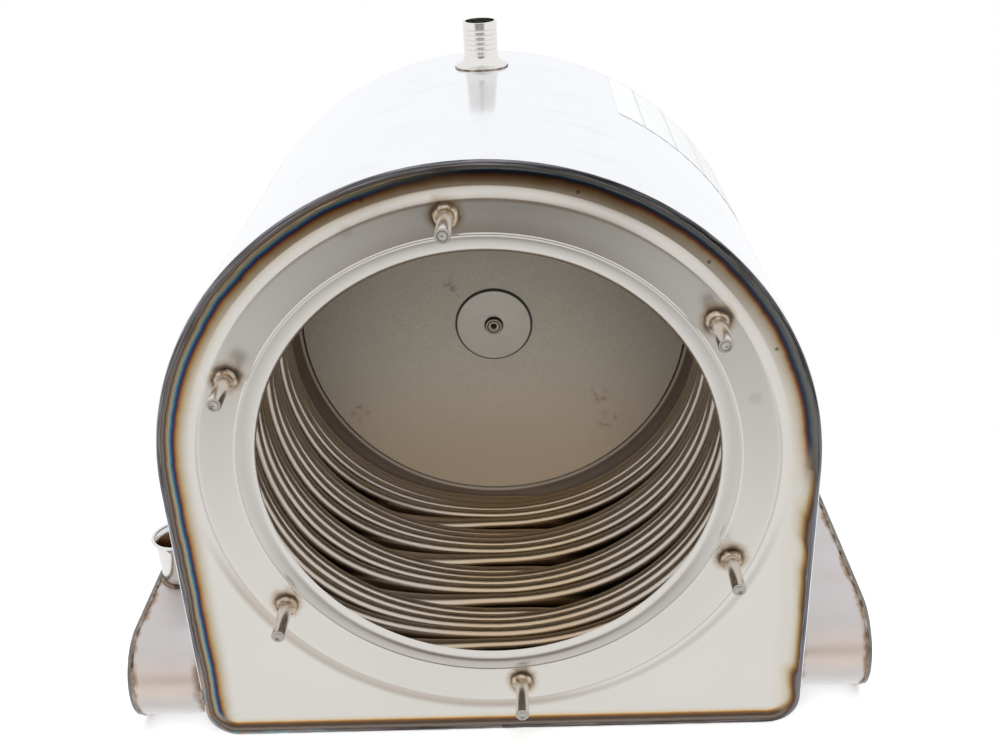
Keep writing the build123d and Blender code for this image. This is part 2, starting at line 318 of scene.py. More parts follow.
class Shade(Wires):
    """Wires the nodes of one material."""

    def __init__(self, name, metallic=1.0, roughness=0.3):
        self.material = bpy.data.materials.new(name)
        self.material.use_nodes = True
        super().__init__(self.material.node_tree)
        self.shader = self.nodes["Principled BSDF"]
        self.shader.inputs["Metallic"].default_value = metallic
        self.shader.inputs["Roughness"].default_value = roughness
        self.place = self.node("ShaderNodeTexCoord").outputs["Object"]
        self.x, self.y, self.z = self.parts(self.place)

    def attribute(self, name):
        step = self.node("ShaderNodeAttribute")
        step.attribute_name = name
        return Value(self, step.outputs["Fac"])

    def cloud(self, place, detail):
        """Cloudy value between 0 and 1 with features about one unit of place in size."""
        step = self.node("ShaderNodeTexNoise")
        step.inputs["Scale"].default_value = 1.0
        step.inputs["Detail"].default_value = detail
        self.links.new(place, step.inputs["Vector"])
        return Value(self, step.outputs["Fac"])

    def noise(self, size, detail, stretch=(1, 1, 1)):
        """Cloudy value between 0 and 1 with features of about the given size in metres."""
        scale = self.node("ShaderNodeVectorMath")
        scale.operation = "MULTIPLY"
        self.links.new(self.place, scale.inputs[0])
        scale.inputs[1].default_value = [1 / (size * part) for part in stretch]
        return self.cloud(scale.outputs[0], detail)

    def patches(self, size, detail, first, second):
        """Two colours in soft patches."""
        return self.mix(self.noise(size, detail), first, second)

    def ramp(self, value, stops):
        """Colour from a list of (position, colour)."""
        step = self.node("ShaderNodeValToRGB")
        points = step.color_ramp.elements
        while len(points) < len(stops):
            points.new(0.5)
        for point, (position, colour) in zip(points, stops):
            point.position = position
            point.color = (*colour, 1)
        self.feed(step.inputs[0], value)
        return Value(self, step.outputs[0])

    def blend(self, colour, *layers):
        """Colours laid over one another, each by its own share."""
        for share, over in layers:
            colour = self.mix(share, colour, over)
        return colour

    def near(self, places, radius):
        """1 at any of the places on the front, fading to 0 at the radius."""
        nearest = None
        for x, z in places:
            reach = self.length(self.x - x, self.z - z)
            nearest = reach if nearest is None else self.least(nearest, reach)
        return nearest.span(radius, 0.3 * radius)

    def colour(self, base, *layers):
        self.feed(self.shader.inputs["Base Color"], self.blend(base, *layers))

    def roughness(self, low, high, size):
        """Roughness that drifts between low and high over the surface."""
        self.feed(self.shader.inputs["Roughness"], self.noise(size, 4) * (high - low) + low)

    def bump(self, height, distance, strength=1.0):
        step = self.node("ShaderNodeBump")
        step.inputs["Strength"].default_value = strength
        step.inputs["Distance"].default_value = distance
        self.feed(step.inputs["Height"], height)
        self.links.new(step.outputs[0], self.shader.inputs["Normal"])


def middle_of(name):
    low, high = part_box(name)
    return (low + high) / 2


def by_height(shade, arch, below):
    """One value above the foot of the arch and another below it."""
    above = shade.math("GREATER_THAN", shade.z, ARCH_Z)
    return above * arch + (1 - above) * below


def rim_distance(shade):
    """Distance inward from the shell's outer face, over the D outline."""
    across = abs(shade.x)
    arch = SHELL_RADIUS - shade.length(across, shade.z - ARCH_Z)
    out = across - (SHELL_RADIUS - CORNER_RADIUS)
    down = CORNER_RADIUS - shade.z
    corner = shade.length(shade.most(out, 0), shade.most(down, 0))
    flat = shade.least(shade.most(out, down), 0)
    return by_height(shade, arch, CORNER_RADIUS - (corner + flat))


def axis_distance(shade, drop=0.0):
    """Distance from the axis of the coils, or from a line below it."""
    return shade.length(shade.x, shade.z - (COIL_Z - drop))


def stud_distance(shade, lift):
    """Distance to the nearest stud, with the spots moved up by lift."""
    rise = shade.z - (COIL_Z + lift)
    first = middle_of(STUD_NAMES[0])
    start = math.atan2(first.z - COIL_Z, first.x)
    apart = 2 * math.pi / len(STUD_NAMES)
    turned_on = shade.math("ARCTAN2", rise, shade.x) + (4 * math.pi - start + apart / 2)
    folded = shade.math("MODULO", turned_on, apart) - apart / 2
    reach = shade.length(shade.x, rise)
    along = reach * shade.math("COSINE", folded) - STUD_CIRCLE
    return shade.length(along, reach * shade.math("SINE", folded))


def rim_along(shade):
    """Length along the D outline from the top of the arch, with a sign for the side."""
    arch = shade.math("ARCTAN2", shade.x, shade.z - ARCH_Z) * SHELL_RADIUS
    run = ARCH_Z + SHELL_RADIUS * (math.pi / 2 + 1) - shade.z - abs(shade.x)
    return by_height(shade, arch, shade.math("SIGN", shade.x) * run)


def rim_streaks(shade, along, distance, length, width, detail=2.0):
    """Cloudy value drawn out along the rim."""
    join = shade.node("ShaderNodeCombineXYZ")
    shade.feed(join.inputs[0], along / length)
    shade.feed(join.inputs[1], distance / width)
    return shade.cloud(join.outputs[0], detail)


def tint_ramp(shade, distance, stops):
    """Heat colours over the first millimetres from the shell's outer face."""
    scaled = [(millimetres / TINT_REACH_MM, colour) for millimetres, colour in stops]
    return shade.ramp(distance / (TINT_REACH_MM * MM), scaled)


def below_corner(shade):
    """1 along the base of the D outline and 0 along its sides, changing over in the corners."""
    return (SHELL_RADIUS - abs(shade.x) - shade.z).span(-7 * MM, 7 * MM)


def rim_tint(shade):
    """Heat colours of the rim all round, and the wavering distance that they follow."""
    along = rim_along(shade)
    rim = rim_distance(shade)
    wander = (rim_streaks(shade, along, rim, 26 * MM, 60 * MM) - 0.5) * (2.0 * MM)
    shiver = (rim_streaks(shade, along, rim, 6 * MM, 40 * MM) - 0.5) * (0.8 * MM)
    distance = rim + (wander + shiver)
    scorch = rim_streaks(shade, along, rim, 30 * MM, 60 * MM, 1).span(0.42, 0.66)
    low_distance = (rim + shiver * 0.4) * (1 - scorch * 0.38)
    right = tint_ramp(shade, distance, RIGHT_TINT)
    right_low = tint_ramp(shade, low_distance, RIGHT_LOW_TINT)
    tint = shade.blend(
        tint_ramp(shade, distance, LEFT_TINT),
        (shade.x.span(-0.055, 0.005), tint_ramp(shade, distance, TOP_TINT)),
        (shade.x.span(0.03, 0.08), shade.mix(shade.z.span(0.155, 0.125), right, right_low)),
        (below_corner(shade), tint_ramp(shade, rim + shiver * 0.6, BOTTOM_TINT)),
    )
    return tint, distance


def plate_material():
    """Satin pressed sheet with heat tint along the rim and burnt marks round the studs, and painted shade,
    shadows and reflections low on the plate and near the studs.
    """
    shade = Shade("plate_steel_look")
    base = shade.patches(60 * MM, 4, (0.65, 0.622, 0.585), (0.72, 0.692, 0.652))
    tint, distance = rim_tint(shade)
    facing = shade.math("LESS_THAN", shade.y, 0)
    burnt = stud_distance(shade, 0.7 * MM) + (shade.noise(9 * MM, 3) - 0.5) * (5 * MM)
    ring = shade.ramp(burnt / (14 * MM), [
        (0.33, (0.04, 0.03, 0.025)), (0.39, (0.16, 0.105, 0.07)),
        (0.46, (0.42, 0.32, 0.20)), (0.66, (0.60, 0.53, 0.42)),
    ])
    halo = burnt.span(9.5 * MM, 5.2 * MM) * 0.88 * facing
    low = shade.z.span(0.12, 0.07)
    step = axis_distance(shade, STEP_DROP)
    # Painted shade: darker lines along the step's crease and bend and on the lip, low on the plate
    inner_line = abs(step - (STEP_INNER + 0.4 * MM)).span(0.9 * MM, 0.2 * MM) * shade.z.span(0.20, 0.15)
    outer_line = abs(step - STEP_OUTER).span(3 * MM, 0.2 * MM) * shade.z.span(0.13, 0.08)
    # Painted reflection: a tan band on the step, low on the left half of the plate
    slope_in = step.span(STEP_INNER, STEP_INNER + 1.5 * MM)
    slope_out = step.span(STEP_OUTER + 2 * MM, STEP_OUTER - 1 * MM)
    painted_step_reflection = slope_in * slope_out * low * shade.x.span(0.06, 0.01) * 0.55
    reach = axis_distance(shade)
    lip_in = reach.span(NECK_RADIUS + 2 * MM, NECK_RADIUS + 4 * MM)
    lip_out = reach.span(RIDGE_RADIUS, RIDGE_RADIUS - 1 * MM)
    painted_crease_shade = shade.most(lip_in * lip_out * low, shade.most(inner_line, outer_line)) * 0.36
    shade.colour(
        shade.mix(distance.span(8 * MM, 16 * MM), tint, base),
        (painted_crease_shade, (0.33, 0.295, 0.265)),
        (painted_step_reflection, (0.42, 0.345, 0.275)),
        (halo, ring),
        # Painted shadow and reflection of the studs
        (shade.near(PAINTED_STUD_SHADOWS_AND_REFLECTIONS, 4 * MM) * 0.2, (0.30, 0.27, 0.21)),
        (shade.near(TACK_MARKS, 1.2 * MM) * facing * 0.7, (0.05, 0.04, 0.035)),
    )
    shade.roughness(0.17, 0.27, 30 * MM)
    shade.bump(shade.noise(1.2 * MM, 2, (1, 1, 8)), 0.004 * MM)
    return shade.material


def shell_material():
    """Bright rolled sheet with faint brown stains."""
    shade = Shade("shell_steel_look")
    base = shade.patches(45 * MM, 5, (0.87, 0.895, 0.95), (0.92, 0.94, 0.98))
    stain = shade.noise(24 * MM, 6, (1.6, 0.5, 1)).span(0.56, 0.80) * 0.22
    shade.colour(base, (stain, (0.66, 0.62, 0.58)))
    shade.roughness(0.08, 0.16, 25 * MM)
    shade.bump(shade.noise(0.8 * MM, 2, (8, 1, 1)), 0.006 * MM, 0.2)
    return shade.material


def header_material():
    """Satin sheet with brown tint by the seams, a faint lilac bloom and painted reflection bands across its
    lower part.
    """
    shade = Shade("header_steel_look")
    base = shade.patches(30 * MM, 4, (0.70, 0.685, 0.70), (0.82, 0.81, 0.83))
    bloom = shade.noise(22 * MM, 2).span(0.45, 0.7) * 0.5
    uneven = (shade.noise(18 * MM, 3) - 0.5) * (9 * MM)
    # Painted reflection: light, grey and tan bands by height over the lower part of the headers
    painted_reflection_bands = shade.ramp((shade.z + uneven) / (78 * MM), [
        (0.08, (0.78, 0.78, 0.78)), (0.26, (0.52, 0.49, 0.47)), (0.40, (0.70, 0.56, 0.46)),
        (0.54, (0.52, 0.48, 0.47)), (0.80, (0.68, 0.67, 0.68)),
    ])
    across = abs(shade.x)
    drip = shade.noise(7 * MM, 4) * (7 * MM)
    seam = (HEADER_SEAM_X - across + drip).span(6.2 * MM, 3.4 * MM)
    wall = (across - SHELL_RADIUS + drip).span(8.5 * MM, 4 * MM) * 0.8
    shade.colour(
        base,
        (bloom, (0.70, 0.60, 0.58)),
        (shade.z.span(0.075, 0.045) * 0.75, painted_reflection_bands),
        (seam, (0.34, 0.20, 0.12)),
        (wall, (0.22, 0.13, 0.08)),
    )
    shade.roughness(0.34, 0.44, 20 * MM)
    shade.bump(shade.noise(0.8 * MM, 2, (8, 1, 1)), 0.01 * MM, 0.25)
    return shade.material


def cover_material():
    """Header cover: plain face, dark melted edge."""
    shade = Shade("cover_steel_look")
    normal = shade.parts(shade.node("ShaderNodeNewGeometry").outputs["Normal"])
    plain = shade.patches(40 * MM, 4, (0.68, 0.67, 0.67), (0.78, 0.77, 0.77))
    edge = shade.patches(6 * MM, 3, (0.10, 0.09, 0.075), (0.34, 0.33, 0.30))
    shade.colour(edge, (abs(normal[0]).span(0.4, 0.8), plain))
    shade.roughness(0.22, 0.36, 20 * MM)
    shade.bump(shade.noise(0.8 * MM, 2, (1, 8, 1)), 0.01 * MM, 0.25)
    return shade.material


def pipe_material():
    """Turned tube, brown at the foot, with painted shade on the inner wall of the bore."""
    shade = Shade("pipe_steel_look")
    base = shade.patches(30 * MM, 4, (0.74, 0.72, 0.69), (0.86, 0.845, 0.82))
    foot = (shade.z - STUB_FOOT_Z + shade.noise(6 * MM, 3) * (5 * MM)).span(8 * MM, 3 * MM)
    low = shade.math("LESS_THAN", shade.z, 0.1)
    left, right = middle_of("left_stub"), middle_of("right_stub")
    bore = shade.least(
        shade.length(shade.x - left.x, shade.y - left.y), shade.length(shade.x - right.x, shade.y - right.y)
    )
    # Painted shade on the inner wall of the bore, below the lip
    painted_bore_shade = bore.span(STUB_BORE + 0.7 * MM, STUB_BORE + 0.2 * MM)
    painted_bore_shade = painted_bore_shade * shade.z.span(STUB_TOP_Z, STUB_TOP_Z - 2 * MM)
    shade.colour(base, (foot * low * 0.8, (0.32, 0.20, 0.11)), (painted_bore_shade, (0.30, 0.22, 0.15)))
    shade.roughness(0.12, 0.2, 15 * MM)
    shade.bump(shade.noise(0.8 * MM, 2, (1, 1, 8)), 0.01 * MM, 0.25)
    return shade.material


def coil_material():
    """Bronze tube, pale on the round front of each turn, with painted shade on top and between turns that
    lightens deeper down the flanks.
    """
    shade = Shade("coil")
    depth, facing = shade.attribute("depth"), shade.attribute("facing")
    pale = shade.patches(40 * MM, 4, (0.54, 0.48, 0.415), (0.66, 0.60, 0.535))
    golden = shade.patches(30 * MM, 4, (0.55, 0.415, 0.27), (0.67, 0.535, 0.385))
    painted_flank_shade = shade.mix(depth.span(5 * MM, 10 * MM), (0.23, 0.18, 0.132), (0.30, 0.25, 0.20))
    shade.colour(
        pale,
        (abs(shade.x - 0.012).span(0.062, 0.016), golden),
        # Painted shade on the top and rear of each turn, kept off the round front
        (facing.span(0.8, 0.1) * 0.75, (0.35, 0.282, 0.205)),
        # Painted shade between turns, lightening again deeper down the flanks and on the fat ends
        (depth.span(2.5 * MM, 4.6 * MM), painted_flank_shade),
    )
    shade.roughness(0.26, 0.33, 18 * MM)
    return shade.material


def stud_material():
    """Bright stud, grey at its tip."""
    shade = Shade("stud_steel_look")
    bright = shade.patches(6 * MM, 3, (0.74, 0.69, 0.63), (0.88, 0.84, 0.79))
    tip_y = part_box(STUD_NAMES[0])[0].y
    tip = shade.y.span(tip_y + 1.3 * MM, tip_y + 0.3 * MM) * 0.75
    shade.colour(bright, (tip, (0.30, 0.285, 0.27)))
    shade.roughness(0.2, 0.3, 4 * MM)
    shade.bump(shade.noise(1 * MM, 2, (6, 1, 6)), 0.02 * MM, 0.5)
    return shade.material


def pan_material():
    """Brown sheet of the rear pan, with painted light on its outer part and a painted highlight as a bright
    edge beside the board.
    """
    shade = Shade("pan_steel_look", metallic=0.6)
    brown = shade.patches(25 * MM, 4, (0.18, 0.13, 0.088), (0.26, 0.195, 0.14))
    reach = axis_distance(shade)
    shade.colour(
        brown,
        # Painted light on the outer part and a painted highlight on the edge beside the board
        (reach.span(107 * MM, 114 * MM), (0.40, 0.335, 0.27)),
        (reach.span(106.2 * MM, 105.4 * MM), (0.60, 0.52, 0.43)),
    )
    shade.roughness(0.3, 0.42, 15 * MM)
    return shade.material


def board_material():
    """Mineral board with fine grain, a few faint stains, painted warm bounce light towards the bottom and a
    painted shadow round the washer.
    """
    shade = Shade("disc_board_look", metallic=0.0, roughness=0.9)
    grain = shade.noise(0.9 * MM, 3)
    base = shade.patches(50 * MM, 4, (0.305, 0.278, 0.228), (0.35, 0.318, 0.264))
    speck = shade.mix(grain.span(0.35, 0.7), (0.25, 0.225, 0.188), (0.39, 0.357, 0.30))
    stain = shade.near(BOARD_STAINS, 8 * MM) * shade.noise(3 * MM, 4).span(0.45, 0.65) * 0.5
    # Painted shadow: a dark line round the washer
    line = axis_distance(shade).span(WASHER_RADIUS + 0.9 * MM, WASHER_RADIUS + 0.5 * MM) * 0.85
    shade.colour(
        base,
        (0.3, speck),
        # Painted warm bounce light towards the bottom of the board
        (shade.z.span(0.14, 0.05) * 0.75, (0.345, 0.255, 0.168)),
        (stain, (0.13, 0.075, 0.05)),
        (line, (0.03, 0.025, 0.02)),
    )
    shade.bump(grain, 0.06 * MM, 0.3)
    return shade.material


def washer_material():
    """Brushed washer and screw, with painted shade as dark lines at their edges and in the screw's socket.
    """
    shade = Shade("washer_steel_look", metallic=0.75)
    plain = shade.mix(shade.noise(2 * MM, 3, (6, 1, 1)), (0.54, 0.51, 0.45), (0.62, 0.59, 0.53))
    reach = axis_distance(shade)
    # Painted shade: dark rings in the screw's socket and round its head, between the head's own lighter
    # rings
    rings = shade.ramp(reach / (6 * MM), [
        (0.26, (0.02, 0.016, 0.013)), (0.32, (0.62, 0.52, 0.42)), (0.42, (0.62, 0.52, 0.42)),
        (0.48, (0.06, 0.045, 0.035)), (0.56, (0.06, 0.045, 0.035)), (0.62, (0.42, 0.38, 0.32)),
        (0.68, (0.42, 0.38, 0.32)), (0.73, (0.05, 0.04, 0.03)), (0.80, (0.05, 0.04, 0.03)),
    ])
    # Painted shadow: a dark line at the washer's outer edge
    outer = reach.span(WASHER_RADIUS - 0.8 * MM, WASHER_RADIUS - 0.3 * MM)
    outer = outer * shade.math("LESS_THAN", reach, WASHER_RADIUS + 1 * MM)
    shade.colour(plain, (reach.span(5.4 * MM, 4.9 * MM), rings), (outer, (0.05, 0.045, 0.04)))
    shade.roughness(0.4, 0.55, 10 * MM)
    return shade.material


def weld_material():
    """Melted rim with fine lines along it, running out into the heat tint of the plate."""
    shade = Shade("weld_look")
    along = rim_along(shade)
    rim = rim_distance(shade)
    streak = rim_streaks(shade, along, rim, 40 * MM, 0.5 * MM, 3)
    left = shade.ramp(streak, [
        (0.38, (0.04, 0.036, 0.036)), (0.46, (0.15, 0.15, 0.165)),
        (0.53, (0.30, 0.295, 0.32)), (0.61, (0.11, 0.09, 0.08)),
    ])
    right = shade.ramp(streak, [
        (0.40, (0.012, 0.012, 0.014)), (0.46, (0.05, 0.05, 0.053)),
        (0.52, (0.17, 0.165, 0.16)), (0.58, (0.035, 0.045, 0.06)),
    ])
    right_low = shade.ramp(streak, [
        (0.38, (0.08, 0.085, 0.09)), (0.50, (0.23, 0.245, 0.27)), (0.62, (0.20, 0.15, 0.145)),
    ])
    bottom = shade.ramp(streak, [
        (0.38, (0.04, 0.034, 0.03)), (0.50, (0.13, 0.11, 0.10)), (0.62, (0.26, 0.24, 0.24)),
    ])
    flame = shade.ramp(rim_streaks(shade, along, rim, 9 * MM, 3 * MM), [
        (0.36, (0.25, 0.45, 0.48)), (0.50, (0.30, 0.30, 0.31)), (0.62, (0.60, 0.34, 0.20)),
    ])
    right_side = shade.x.span(0.0, 0.05)
    tint, distance = rim_tint(shade)
    shade.colour(
        left,
        (right_side, right),
        (shade.z.span(0.19, 0.13) * right_side, right_low),
        (below_corner(shade), bottom),
        (shade.z.span(0.055, 0.02) * shade.x.span(-0.06, -0.12) * 0.7, flame),
        (distance.span(1.7 * MM, 2.5 * MM), tint),
    )
    shade.roughness(0.2, 0.4, 6 * MM)
    return shade.material


def bead_material():
    """Brown and grey bead of the smaller welds."""
    shade = Shade("bead_look", roughness=0.35)
    shade.colour(shade.ramp(shade.noise(5 * MM, 3), [
        (0.34, (0.08, 0.06, 0.05)), (0.50, (0.26, 0.20, 0.15)), (0.66, (0.42, 0.38, 0.35)),
    ]))
    shade.bump(shade.noise(1.5 * MM, 2), 0.1 * MM, 0.5)
    return shade.material


def collar_material():
    """Golden weld collar of a stud."""
    shade = Shade("collar_look", roughness=0.25)
    shade.colour(shade.ramp(shade.noise(3 * MM, 3), [
        (0.34, (0.20, 0.14, 0.10)), (0.50, (0.46, 0.36, 0.26)), (0.66, (0.62, 0.54, 0.45)),
    ]))
    shade.bump(shade.noise(1.2 * MM, 2), 0.1 * MM, 0.4)
    return shade.material


def label_material():
    """Blank foil label with plain thin divider lines."""
    shade = Shade("label_look", metallic=0.6, roughness=0.35)
    across = shade.math("ARCTAN2", shade.z - ARCH_Z, shade.x) * SHELL_RADIUS
    cell = shade.math("MODULO", across - LABEL_START * SHELL_RADIUS, LABEL_CELL)
    line = abs(cell - LABEL_CELL / 2).span(0.9 * MM, 0.4 * MM)
    half = (LABEL_REAR_Y - LABEL_FRONT_Y) / 2
    edge = abs(shade.y - (LABEL_FRONT_Y + half)).span(half - 1.4 * MM, half - 0.7 * MM)
    foil = shade.patches(12 * MM, 3, (0.78, 0.79, 0.80), (0.88, 0.89, 0.90))
    shade.colour(foil, (shade.most(line, edge) * 0.45, (0.40, 0.40, 0.41)))
    return shade.material


def mesh_piece(name, points, faces, material):
    """New piece of the object, riding on the one body."""
    mesh = bpy.data.meshes.new(name)
    mesh.from_pydata(points, [], faces)
    work = bmesh.new()
    work.from_mesh(mesh)
    bmesh.ops.recalc_face_normals(work, faces=work.faces)
    work.to_mesh(mesh)
    work.free()
    mesh.polygons.foreach_set("use_smooth", [True] * len(mesh.polygons))
    mesh.set_sharp_from_angle(angle=math.radians(50))
    piece = bpy.data.objects.new(name, mesh)
    bpy.context.scene.collection.objects.link(piece)
    mesh.materials.append(material)
    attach(piece, "root")
    return piece


def rings_to_mesh(rings, closed):
    """Points and faces of a skin over rings of equal length."""
    count = len(rings[0])
    points = [point for ring in rings for point in ring]
    faces = []
    last = len(rings) if closed else len(rings) - 1
    for row in range(last):
        here, there = row * count, (row + 1) % len(rings) * count
        for column in range(count):
            right = (column + 1) % count
            faces.append((here + column, here + right, there + right, there + column))
    if not closed:
        faces.append(tuple(reversed(range(count))))
        faces.append(tuple(range((len(rings) - 1) * count, len(rings) * count)))
    return points, faces


def between(value, low, high):
    """Share of the way from low to high, eased at both ends and held outside."""
    share = min(max((value - low) / (high - low), 0), 1)
    return share * share * (3 - 2 * share)


def turn_depth(turn, within_deg):
    """Depth behind the rim of the first bundle, within one turn from base to base."""
    up_left = between(within_deg, *LEFT_SHIFT_DEG)
    down_right = between(within_deg, *RIGHT_SHIFT_DEG)
    depth = BASE_DEPTHS[turn] + (SIDE_DEPTHS[turn] - BASE_DEPTHS[turn]) * up_left
    return depth + (BASE_DEPTHS[turn + 1] - SIDE_DEPTHS[turn]) * down_right


def tube_section(width, thickness):
    """Outline of a flattened tube with round edges, as places outward and along the axis."""
    half = thickness / 2
    straight = width / 2 - half
    places = []
    for point in range(SECTION_POINTS):
        angle = 2 * math.pi * (point + 0.5) / SECTION_POINTS
        out = half * math.cos(angle) + math.copysign(straight, math.cos(angle))
        places.append((out, half * math.sin(angle)))
    return places


def grown_section(share):
    """Width and thickness of a tube end that grows rounder."""
    width = TUBE_WIDTH + (END_WIDTH - TUBE_WIDTH) * share
    return width, TUBE_THICKNESS + (END_THICKNESS - TUBE_THICKNESS) * share


def outward(angle):
    """Direction out from the axis of the coils, from the base up the left side."""
    return Vector((-math.sin(angle), 0, -math.cos(angle)))


def right_end_stations(crest, y):
    """Stations of the end that runs straight to the wall."""
    stations = []
    for station in range(1, END_STATIONS + 1):
        across = (SHELL_RADIUS + TUBE_REACH) * station / END_STATIONS
        share = between(across, *RIGHT_END_ROUNDS)
        width, thickness = grown_section(share)
        middle = Vector((across, y + RIGHT_END_SHIFT * share, COIL_Z - crest - width / 2))
        stations.append((middle, outward(0), width, thickness))
    return stations


def left_end_stations(crest, y):
    """Stations of the end that follows the chamber, sinks between the turns and runs to the wall."""
    stations = []
    for station in range(1, END_STATIONS + 1):
        share = station / END_STATIONS
        radial = outward(math.radians(LEFT_END_DEG) * share)
        width, thickness = grown_section(between(share * LEFT_END_HASTE, 0, 1))
        reach = crest + LEFT_END_DROP * share ** 2 + width / 2
        middle = radial * reach + Vector((0, y + LEFT_END_SHIFT * between(share, 0, 1), COIL_Z))
        stations.append((middle, radial, width, thickness))
    start = stations[-1][0]
    wall = Vector((-SHELL_RADIUS - TUBE_REACH, y, COIL_Z - crest - TUBE_WIDTH / 2))
    for station in range(1, WALL_STATIONS + 1):
        share = station / WALL_STATIONS
        turned_down = radial.lerp(outward(0), min(1, share * 2)).normalized()
        stations.append((start.lerp(wall, share), turned_down, END_WIDTH, END_THICKNESS))
    return stations


def coil_piece(number, material):
    """One coil of four turns with both ends."""
    shift = FRONT_Y + number * BUNDLE_PITCH
    stations = right_end_stations(TUBE_INNER_RADIUS + TURN_DROPS[0], shift + BASE_DEPTHS[0])
    stations.reverse()
    turns = len(SIDE_DEPTHS)
    for station in range(turns * STATIONS_PER_TURN + 1):
        turn = min(station // STATIONS_PER_TURN, turns - 1)
        within = 360 * (station - turn * STATIONS_PER_TURN) / STATIONS_PER_TURN
        radial = outward(math.radians(within))
        settle = between(within, *RIGHT_SHIFT_DEG)
        drop = TURN_DROPS[turn] + (TURN_DROPS[turn + 1] - TURN_DROPS[turn]) * settle
        reach = TUBE_INNER_RADIUS + TUBE_WIDTH / 2 + drop
        middle = radial * reach + Vector((0, shift + turn_depth(turn, within), COIL_Z))
        stations.append((middle, radial, TUBE_WIDTH, TUBE_THICKNESS))
    stations += left_end_stations(TUBE_INNER_RADIUS + TURN_DROPS[-1], shift + BASE_DEPTHS[-1])
    rings, depths, facings = [], [], []
    for middle, radial, width, thickness in stations:
        section = tube_section(width, thickness)
        rings.append([middle + radial * out + Vector((0, along, 0)) for out, along in section])
        depths += [(out + width / 2) * TUBE_THICKNESS / thickness for out, along in section]
        # Painted light: the fatter the end, the paler it is painted
        end_painted_light = FAT_END_PAINTED_LIGHT * (thickness / TUBE_THICKNESS - 1)
        facings += [end_painted_light - along * 2 / thickness for out, along in section]
    points, faces = rings_to_mesh(rings, closed=False)
    piece = mesh_piece(f"coil_tube_{number + 1}", points, faces, material)
    for name, values in (("depth", depths), ("facing", facings)):
        piece.data.attributes.new(name, "FLOAT", "POINT").data.foreach_set("value", values)
    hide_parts(COIL_NAMES[number])


def rounded_path(legs, spacing):
    """Places and outward directions along legs, in one plane.

    A leg has the middle at its start and end, the reach out from that middle, the angle at its start
    and end in degrees, and the length that its steps are counted from.
    """
    path = []
    for start, end, reach, first, last, length in legs:
        steps = max(2, round(length / spacing))
        for step in range(steps):
            share = step / steps
            angle = math.radians(first + (last - first) * share)
            out = Vector((math.cos(angle), math.sin(angle)))
            path.append((Vector(start).lerp(Vector(end), share) + out * reach, out))
    return path


def outline_path(inset):
    """Places round the D outline, from the base's middle, clockwise, as many for every inset."""
    corner = CORNER_RADIUS - inset
    straight = SHELL_RADIUS - CORNER_RADIUS
    side = ARCH_Z - CORNER_RADIUS
    bend = CORNER_RADIUS * math.pi / 2
    base, top = (0, CORNER_RADIUS), (0, ARCH_Z)
    left_low, left_high = (-straight, CORNER_RADIUS), (-straight, ARCH_Z)
    right_low, right_high = (straight, CORNER_RADIUS), (straight, ARCH_Z)
    legs = [
        (base, left_low, corner, -90, -90, straight),
        (left_low, left_low, corner, -90, -180, bend),
        (left_low, left_high, corner, 180, 180, side),
        (top, top, SHELL_RADIUS - inset, 180, 0, SHELL_RADIUS * math.pi),
        (right_high, right_low, corner, 0, 0, side),
        (right_low, right_low, corner, 0, -90, bend),
        (right_low, base, corner, -90, -90, straight),
    ]
    return [Vector((place.x, 0, place.y)) for place, out in rounded_path(legs, RIM_SPACING)]


def rim_weld(name, y, facing, material):
    """Melted edge of the shell, running down to the sunk plate in a fillet with faint lumps."""
    stations = [outline_path(inset * MM) for inset, depth in RIM_SECTION_MM]
    rings = []
    for row in zip(*stations):
        lump = RIM_LUMP * noise.noise(row[0] * RIM_LUMPS_PER_METRE)
        ring = []
        for place, (inset, depth) in zip(row, RIM_SECTION_MM):
            ring.append(place + Vector((0, y + facing * (lump - depth * MM), 0)))
        rings.append(ring)
    points, faces = rings_to_mesh(rings, closed=True)
    mesh_piece(name, points, faces, material)


def rim_reach(direction):
    """How far the plate's D outline lies from the axis of the coils in a direction."""
    corner = CORNER_RADIUS - PLATE_INSET
    side = SHELL_RADIUS - PLATE_INSET

    def outside(reach):
        x = abs(direction.x * reach)
        z = COIL_Z + direction.z * reach
        if z > ARCH_Z:
            return math.hypot(x, z - ARCH_Z) > side
        if x > side - corner and z < CORNER_RADIUS:
            return math.hypot(x - side + corner, z - CORNER_RADIUS) > corner
        return x > side or z < PLATE_INSET

    low, high = STEP_OUTER - STEP_DROP, 2 * SHELL_RADIUS
    for _ in range(40):
        middle = (low + high) / 2
        low, high = (low, middle) if outside(middle) else (middle, high)
    return low


def seat_profile():
    """Radius, depth behind the seat and share of the step's drop, from the lip's end outward."""
    rows = []
    for step in range(LIP_STEPS + 1):
        turn = math.radians(LIP_END_DEG + (90 - LIP_END_DEG) * step / LIP_STEPS)
        radius = NECK_RADIUS + LIP_ROLL_WIDTH * (1 - math.cos(turn))
        rows.append((radius, LIP_ROLL_DEPTH * (1 - math.sin(turn)), 0))
    for step in range(RIDGE_STEPS + 1):
        share = 2 * step / RIDGE_STEPS - 1
        rise = RIDGE_HEIGHT * (1 + math.cos(math.pi * share)) / 2
        rows.append((RIDGE_RADIUS + RIDGE_HALF_WIDTH * share, -rise, 0))
    rows.append(((RIDGE_RADIUS + STEP_INNER) / 2, 0, 0.5))
    rows.append((STEP_INNER - STEP_LEAD, 0, 1))
    for step in range(STEP_STEPS + 1):
        share = step / STEP_STEPS
        eased = STEP_STRAIGHT_SHARE * share + (1 - STEP_STRAIGHT_SHARE) * between(share, 0, 1)
        rows.append((STEP_INNER + (STEP_OUTER - STEP_INNER) * share, PLATE_RECESS * eased, 1))
    return rows


